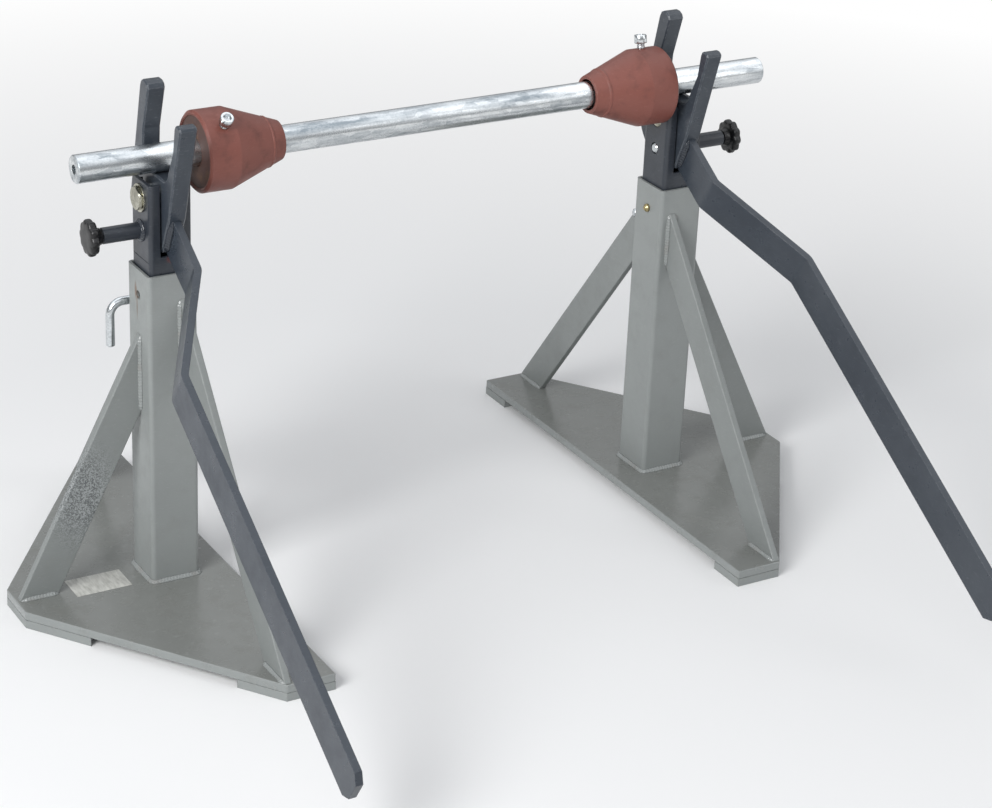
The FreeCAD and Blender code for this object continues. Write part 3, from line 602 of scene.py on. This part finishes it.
def fillet_bead(path, first, second, leg, closed=False, pitch=BEAD_PITCH, phase=0.0):
    """Weld bead in the corner of two faces.

    At each point of the path the section is a quarter round: corner + r (cos t first + sin t second),
    t from 0 to 90 degrees. r is the leg times 1 + ripple, the ripple a sine along the path that lags
    towards both toes, so the waves bow like those of a real bead. An open bead thins to both ends.
    """
    steps = np.linalg.norm(np.diff(path, axis=0), axis=1)
    along = np.concatenate([[0.0], np.cumsum(steps)])
    across = np.linspace(0.0, math.pi / 2, 9)
    bow = np.abs(across - math.pi / 4) / (math.pi / 4)
    wave = np.sin(2 * math.pi * along[:, None] / pitch - 2.2 * bow[None, :] ** 2 + phase)
    drift = np.sin(along * 83.0 + phase) * 0.07 + np.sin(along * 211.0 + 2 * phase) * 0.05
    radius = leg * (1.0 + 0.07 * wave + drift[:, None])
    if not closed:
        from_end = np.minimum(along, along[-1] - along) / (1.6 * leg)
        radius = radius * np.sqrt(np.clip(from_end, 0.06, 1.0))[:, None]
    belly = 1.0 - 0.16 * np.sin(2 * across) ** 2
    arc = (np.cos(across)[None, :, None] * first[:, None, :]
           + np.sin(across)[None, :, None] * second[:, None, :])
    face = path[:, None, :] + arc * (radius * belly[None, :])[:, :, None]
    back = path[:, None, :] - 0.0004 * (first + second)[:, None, :]
    return outward(ring_surface(np.concatenate([face, back], axis=1), closed))


def straight_bead(start, end, first, second, leg, phase=0.0):
    """Bead along a straight corner, a point at about every BEAD_STEP."""
    start, end = np.array(start, dtype=float), np.array(end, dtype=float)
    count = max(12, int(np.linalg.norm(end - start) / BEAD_STEP))
    share = np.linspace(0.0, 1.0, count)[:, None]
    path = start + (end - start) * share
    one = np.broadcast_to(np.array(first, dtype=float), path.shape)
    two = np.broadcast_to(np.array(second, dtype=float), path.shape)
    return fillet_bead(path, one, two, leg, phase=phase)


def ring_bead(centre, axis, start, radius, leg, inward=False, phase=0.0):
    """Bead round a pipe on a face, or inside a bore: its path is a circle about the axis."""
    axis = np.array(axis, dtype=float)
    start = np.array(start, dtype=float)
    other = np.cross(axis, start)
    count = max(48, int(2 * math.pi * radius / BEAD_STEP))
    angle = np.linspace(0.0, 2 * math.pi, count, endpoint=False)[:, None]
    out = np.cos(angle) * start + np.sin(angle) * other
    path = np.array(centre, dtype=float) + radius * out
    waves = max(6, round(2 * math.pi * radius / BEAD_PITCH))
    return fillet_bead(path, -out if inward else out, np.broadcast_to(axis, path.shape), leg, True,
                       2 * math.pi * radius / waves, phase)


def column_foot_bead():
    """Bead round the foot of the square column: four straights and four rounded corners."""
    corner, half = COLUMN_CORNER, COLUMN_HALF
    turn = np.linspace(0.0, math.pi / 2, 12)
    flat = np.linspace(-(half - corner), half - corner, 80)[1:-1]
    path, out = [], []
    for quarter in range(4):
        angle = turn + quarter * math.pi / 2
        way = np.stack([np.cos(angle), np.sin(angle)], axis=1)
        middle = angle.mean()
        centre = (half - corner) * math.sqrt(2) * np.array([math.cos(middle), math.sin(middle)])
        path.append(centre + corner * way)
        out.append(way)
        side = np.array([math.cos(angle[-1]), math.sin(angle[-1])])
        along = np.array([-side[1], side[0]])
        path.append(half * side + flat[:, None] * along)
        out.append(np.broadcast_to(side, (len(flat), 2)))
    path, out = np.concatenate(path), np.concatenate(out)
    zeros = np.zeros((len(path), 1))
    path = np.hstack([path + np.array([COLUMN_X, COLUMN_Y]), zeros + PLATE_TOP])
    up = np.tile([0.0, 0.0, 1.0], (len(path), 1))
    return fillet_bead(path, np.hstack([out, zeros]), up, COLUMN_BEAD, True, COLUMN_BEAD_PITCH)


def box_of(name):
    """Low and high corner of a node's box."""
    low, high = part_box(name)
    return np.array(low, dtype=float), np.array(high, dtype=float)


def brace_cuts(rise, run):
    """Widths of a slanted brace where it meets the plate and where it meets the column."""
    slope = math.atan(rise / run)
    return BRACE_WIDTH / math.sin(slope), BRACE_WIDTH / math.cos(slope)


def outer_brace_beads():
    """Beads on both sides of the outer brace, at its foot and at the column."""
    parts = []
    low, high = box_of("brace_outer_left")
    foot_width, face_width = brace_cuts(high[2] - low[2], high[0] - low[0])
    for sign, y in ((-1, low[1]), (1, high[1])):
        side = (0, sign, 0)
        parts.append(straight_bead((low[0] + BEAD_END_GAP, y, PLATE_TOP),
                                   (low[0] + foot_width, y, PLATE_TOP),
                                   side, (0, 0, 1), BRACE_BEAD, sign))
        parts.append(straight_bead((high[0], y, high[2] - face_width), (high[0], y, high[2] - BEAD_END_GAP),
                                   side, (-1, 0, 0), BRACE_BEAD, 2 * sign))
    return parts


def corner_brace_beads(name, direction):
    """The same on the brace to the front corner, direction -1, or to the back corner, direction 1."""
    parts = []
    low, high = box_of(name)
    foot_width, face_width = brace_cuts(high[2] - low[2], high[1] - low[1])
    tip = low[1] if direction < 0 else high[1]
    face = high[1] if direction < 0 else low[1]
    for sign, x in ((-1, low[0]), (1, high[0])):
        side = (sign, 0, 0)
        parts.append(straight_bead((x, tip - direction * BEAD_END_GAP, PLATE_TOP),
                                   (x, tip - direction * foot_width, PLATE_TOP),
                                   side, (0, 0, 1), BRACE_BEAD, 3 * sign))
        parts.append(straight_bead((x, face, high[2] - face_width), (x, face, high[2] - BEAD_END_GAP),
                                   side, (0, direction, 0), BRACE_BEAD, 4 * sign))
    return parts


def stand_welds():
    """Beads at the foot of the column and at the foot and top of each brace."""
    return ([column_foot_bead()] + outer_brace_beads()
            + corner_brace_beads("brace_front_left", -1) + corner_brace_beads("brace_back_left", 1))


def lever_welds():
    """Beads where the flat lever bar meets the edge of the cradle plate, on both sides of the bar."""
    way = (0, -math.cos(ARM_SLOPE), -math.sin(ARM_SLOPE))
    parts = []
    for sign in (-1, 1):
        x = COLUMN_X + sign * ARM_HALF
        start = (x, COLUMN_Y + LEVER_BEAD_TOP[0], PIVOT_Z + LEVER_BEAD_TOP[1])
        end = (x, COLUMN_Y + LEVER_BEAD_FOOT[0], PIVOT_Z + LEVER_BEAD_FOOT[1])
        parts.append(straight_bead(start, end, (sign, 0, 0), way, LEVER_BEAD, sign))
    return parts


def head_welds():
    """Bead round the root of the plunger sleeve."""
    centre = (COLUMN_X - TUBE_HALF, COLUMN_Y, PLUNGER_Z)
    return [ring_bead(centre, (-1, 0, 0), (0, 1, 0), SLEEVE_RADIUS, SLEEVE_BEAD)]


def cone_rim(side):
    """X of a cone's large end, the right one taken over to the left side."""
    low, high = box_of("cone_shell_" + side)
    return low[0] if side == "left" else -high[0]


def cone_welds(side):
    """Bead between the end disc and the rim, and the raised seam round the taper.

    The seam is a turned strip: radius = taper line + height (1 - u^2) ripple - sink, with u from -1
    to 1 across its width and the ripple 1 plus two small sines of the angle.
    """
    rim = cone_rim(side)
    face = (rim + CONE_FACE_DEPTH, COLUMN_Y, SHAFT_Z)
    end_bead = ring_bead(face, (-1, 0, 0), (0, 1, 0), CONE_END_RADIUS, CONE_END_BEAD, True)
    turn = np.linspace(0.0, 2 * math.pi, 240, endpoint=False)[None, :]
    across = np.linspace(-1.0, 1.0, 9)[:, None]
    x = rim + SEAM_PLACE + SEAM_HALF * across
    line = CONE_RADIUS - (x - rim - CONE_STRAIGHT) * CONE_TAPER
    ripple = 1 + 0.18 * np.sin(37 * turn) + 0.1 * np.sin(5 * turn)
    radius = line + SEAM_HEIGHT * (1 - across ** 2) * ripple - SEAM_SINK
    seam = np.stack([x + 0 * turn, COLUMN_Y + radius * np.cos(turn), SHAFT_Z + radius * np.sin(turn)],
                    axis=-1)
    inner = seam[::-1].copy()
    inner[..., 1:] = (inner[..., 1:] - (COLUMN_Y, SHAFT_Z)) * 0.97 + (COLUMN_Y, SHAFT_Z)
    return [end_bead, outward(ring_surface(np.concatenate([seam, inner]), True))]


def label_plate():
    """Thin bare plate on the left base: a rectangle raised by a few tenths of a millimetre.

    Outline = the unit circle's points over their larger coordinate, times half the plate's sides.
    """
    angle = np.linspace(0.0, 2 * math.pi, LABEL_POINTS, endpoint=False)
    way = np.stack([np.cos(angle), np.sin(angle)], axis=1)
    outline = way / np.abs(way).max(axis=1, keepdims=True) * (LABEL_LENGTH / 2, LABEL_WIDTH / 2)
    rings = []
    for inset, height in ((1.0, 0.0), (1.0, 0.0003), (0.99, 0.0004)):
        flat = outline * inset + np.array(LABEL_PLACE)
        rings.append(np.hstack([flat, np.full((LABEL_POINTS, 1), PLATE_TOP + height)]))
    return outward(ring_surface(np.stack(rings)))


def cap_screw(rim, tilt):
    """Socket cap screw with a rolled thread, one skin of rings along its axis.

    Shank radius = root + depth times a triangle wave of (height over pitch less the angle over a full
    turn). The head is a plain round with small chamfers, and the hexagonal socket is the polar form of
    a hexagon, half the flats over the cosine of the angle from the nearest flat's middle.
    """
    turn = np.linspace(0.0, 2 * math.pi, 72, endpoint=False)
    hexagon = SOCKET_HALF_FLATS / np.cos((turn + math.pi / 6) % (math.pi / 3) - math.pi / 6)
    rings, heights = [], []

    def ring(height, radius):
        rings.append(np.broadcast_to(radius, turn.shape))
        heights.append(height)

    ring(SCREW_TIP, 0.0045)
    for height in np.arange(SCREW_TIP + 0.001, SCREW_HEAD, 0.0004):
        saw = np.abs(((height / THREAD_PITCH - turn / (2 * math.pi)) % 1.0) - 0.5) * 2
        ring(height, THREAD_ROOT + THREAD_DEPTH * saw)
    for height, radius in SCREW_HEAD_PROFILE:
        ring(SCREW_HEAD + height, radius)
    ring(SCREW_HEAD + SCREW_HEAD_HEIGHT, hexagon * 1.04)
    ring(SCREW_HEAD + 0.0114, hexagon)
    ring(SCREW_HEAD + 0.0062, hexagon)
    ring(SCREW_HEAD + 0.0058, hexagon * 0.6)
    radii = np.stack(rings)
    height = np.array(heights)[:, None]
    height = np.broadcast_to(height, radii.shape)
    local = np.stack([radii * np.cos(turn), radii * np.sin(turn), height], axis=-1)
    lean = math.radians(tilt)
    up = np.array([0.0, -math.sin(lean), math.cos(lean)])
    side = np.array([0.0, math.cos(lean), math.sin(lean)])
    basis = np.stack([np.array([1.0, 0.0, 0.0]), side, up])
    middle = np.array([rim + SCREW_PLACE, COLUMN_Y, SHAFT_Z])
    return outward(ring_surface(local @ basis + middle))


def star_knob():
    """Star knob as rings along its axis.

    Ring radius = profile times (1 less a share of (1 - w)), where w is the cosine of the lobes times
    the angle, brought to 0 to 1 and raised to 0.7, so the crests are rounder than the hollows.
    """
    turn = np.linspace(0.0, 2 * math.pi, 240, endpoint=False)
    wave = (0.5 + 0.5 * np.cos(KNOB_LOBES * turn)) ** 0.7
    low, high = box_of("star_knob_left")
    start, hub = low[0], high[0]
    middle_y, middle_z = (low[1] + high[1]) / 2, PLUNGER_Z
    rings = []
    for depth, size, lobed in KNOB_PROFILE:
        radius = KNOB_RADIUS * size * (1.0 - KNOB_LOBE_DEPTH * lobed * (1.0 - wave))
        rings.append((start + depth, radius))
    for x, radius in ((start + 0.0134, 0.0125), (hub - 0.0010, 0.0112), (hub, 0.0104),
                      (hub, KNOB_BORE), (hub - 0.004, KNOB_BORE)):
        rings.append((x, np.full(turn.shape, radius)))
    skin = [np.stack([np.full(turn.shape, x), middle_y + r * np.cos(turn), middle_z + r * np.sin(turn)],
                     axis=-1) for x, r in rings]
    return outward(ring_surface(np.stack(skin)))


def make_pieces():
    """Weld beads, knobs, cap screws and the bare plate, each on the body that carries it."""
    for side in SIDES:
        mesh_piece("stand_welds_" + side, on_side(stand_welds(), side), STAND_WELD,
                   "stand_" + side)
        mesh_piece("head_welds_" + side, on_side(head_welds(), side), HEAD_WELD,
                   "head_" + side)
        mesh_piece("lever_welds_" + side, on_side(lever_welds(), side), HEAD_WELD,
                   "lever_" + side)
        mesh_piece("cone_welds_" + side, on_side(cone_welds(side), side), CONE_PRIMER,
                   "cone_" + side)
        knob = mesh_piece("lobed_knob_" + side, on_side([star_knob()], side), KNOB_PLASTIC,
                          "plunger_" + side)
        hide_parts("star_knob_" + side)
    for side, tilt in (("left", 38.0), ("right", -12.0)):
        screw = mesh_piece("cap_screw_" + side, on_side([cap_screw(cone_rim(side), tilt)], side),
                           BRIGHT_PLATE, "cone_screw_" + side)
        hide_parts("cone_screw_" + side)
    mesh_piece("bare_plate_left", [label_plate()], LABEL_FINISH, "stand_left")


# ---- Floor, light and camera ----

def make_floor():
    """Pale round floor under the stands that fades to white far out."""
    angle = np.linspace(0.0, 2 * math.pi, FLOOR_POINTS, endpoint=False)
    rim = np.stack([np.cos(angle), np.sin(angle), np.zeros(FLOOR_POINTS)], axis=1) * FLOOR_RADIUS
    mesh = bpy.data.meshes.new("pale floor")
    mesh.from_pydata(rim.tolist(), [], [list(range(FLOOR_POINTS))])
    floor = bpy.data.objects.new("pale floor", mesh)
    bpy.context.scene.collection.objects.link(floor)
    material, tree, shader = new_material("pale floor")
    shader.inputs["Base Color"].default_value = (0.93, 0.93, 0.93, 1.0)
    shader.inputs["Roughness"].default_value = 0.9
    shader.inputs["Specular IOR Level"].default_value = 0.1
    glow = tree.nodes.new("ShaderNodeEmission")
    place = tree.nodes.new("ShaderNodeTexCoord").outputs["Object"]
    reach = tree.nodes.new("ShaderNodeVectorMath")
    reach.operation = "LENGTH"
    tree.links.new(place, reach.inputs[0])
    far = span(tree, reach.outputs["Value"], 1.0, 3.0)
    mix = tree.nodes.new("ShaderNodeMixShader")
    tree.links.new(far, mix.inputs[0])
    tree.links.new(shader.outputs["BSDF"], mix.inputs[1])
    tree.links.new(glow.outputs["Emission"], mix.inputs[2])
    tree.links.new(mix.outputs["Shader"], tree.nodes["Material Output"].inputs["Surface"])
    mesh.materials.append(material)


def make_world():
    """Even soft light on dull surfaces; shiny ones mirror a room that is bright above and dim around."""
    world = bpy.data.worlds.new("studio")
    bpy.context.scene.world = world
    world.use_nodes = True
    tree = world.node_tree
    soft = tree.nodes["Background"]
    soft.inputs["Color"].default_value = (0.95, 0.97, 1.0, 1.0)
    parts = tree.nodes.new("ShaderNodeSeparateXYZ")
    tree.links.new(tree.nodes.new("ShaderNodeTexCoord").outputs["Generated"], parts.inputs["Vector"])
    room = span(tree, parts.outputs["Z"], 0.3, 0.85, 0.36, 1.7)
    path = tree.nodes.new("ShaderNodeLightPath")
    extra = sums(tree, "MULTIPLY", path.outputs["Is Glossy Ray"], sums(tree, "SUBTRACT", room, AMBIENT))
    tree.links.new(sums(tree, "ADD", extra, AMBIENT), soft.inputs["Strength"])
    white = tree.nodes.new("ShaderNodeBackground")
    white.inputs["Color"].default_value = (1.0, 1.0, 1.0, 1.0)
    white.inputs["Strength"].default_value = 1.0
    seen = sums(tree, "MAXIMUM", path.outputs["Is Camera Ray"], path.outputs["Is Transmission Ray"])
    mix = tree.nodes.new("ShaderNodeMixShader")
    tree.links.new(seen, mix.inputs[0])
    tree.links.new(soft.outputs["Background"], mix.inputs[1])
    tree.links.new(white.outputs["Background"], mix.inputs[2])
    tree.links.new(mix.outputs["Shader"], tree.nodes["World Output"].inputs["Surface"])


def soft_box(name, place, aim, size, power):
    """Square soft light that looks from its place to its aim."""
    data = bpy.data.lights.new(name, "AREA")
    data.shape = "SQUARE"
    data.size = size
    data.energy = power
    lamp = bpy.data.objects.new(name, data)
    bpy.context.scene.collection.objects.link(lamp)
    away = np.array(place, dtype=float) - np.array(aim, dtype=float)
    back = away / np.linalg.norm(away)
    right = np.cross([0.0, 0.0, 1.0], back)
    right /= np.linalg.norm(right)
    up = np.cross(back, right)
    turn = np.identity(4)
    turn[:3, 0], turn[:3, 1], turn[:3, 2], turn[:3, 3] = right, up, back, place
    lamp.matrix_world = Matrix(turn.tolist())


def make_camera():
    """Camera at the photograph's place: turned left of the front, looking down, rolled a little."""
    turn, down, roll = CAMERA_TURN, CAMERA_DOWN, CAMERA_ROLL
    ahead = np.array([math.sin(turn) * math.cos(down), math.cos(turn) * math.cos(down), -math.sin(down)])
    level = np.array([math.cos(turn), -math.sin(turn), 0.0])
    upright = np.cross(level, ahead)
    right = math.cos(roll) * level + math.sin(roll) * upright
    up = -math.sin(roll) * level + math.cos(roll) * upright
    data = bpy.data.cameras.new("camera")
    data.lens = CAMERA_LENS
    data.sensor_width = 36.0
    data.sensor_fit = "HORIZONTAL"
    data.clip_end = 60.0
    camera = bpy.data.objects.new("camera", data)
    bpy.context.scene.collection.objects.link(camera)
    pose = np.identity(4)
    pose[:3, 0], pose[:3, 1], pose[:3, 2], pose[:3, 3] = right, up, -ahead, CAMERA_PLACE
    camera.matrix_world = Matrix(pose.tolist())
    bpy.context.scene.camera = camera


dress_nodes()
make_pieces()
make_floor()
make_world()
soft_box("key light", (-4.0, -1.9, 3.0), (0.0, 0.1, 0.3), 2.4, 200.0)
soft_box("fill light", (3.2, -3.0, 2.2), (0.0, 0.1, 0.3), 2.4, 24.0)
make_camera()
bpy.context.scene.view_settings.view_transform = "Standard"
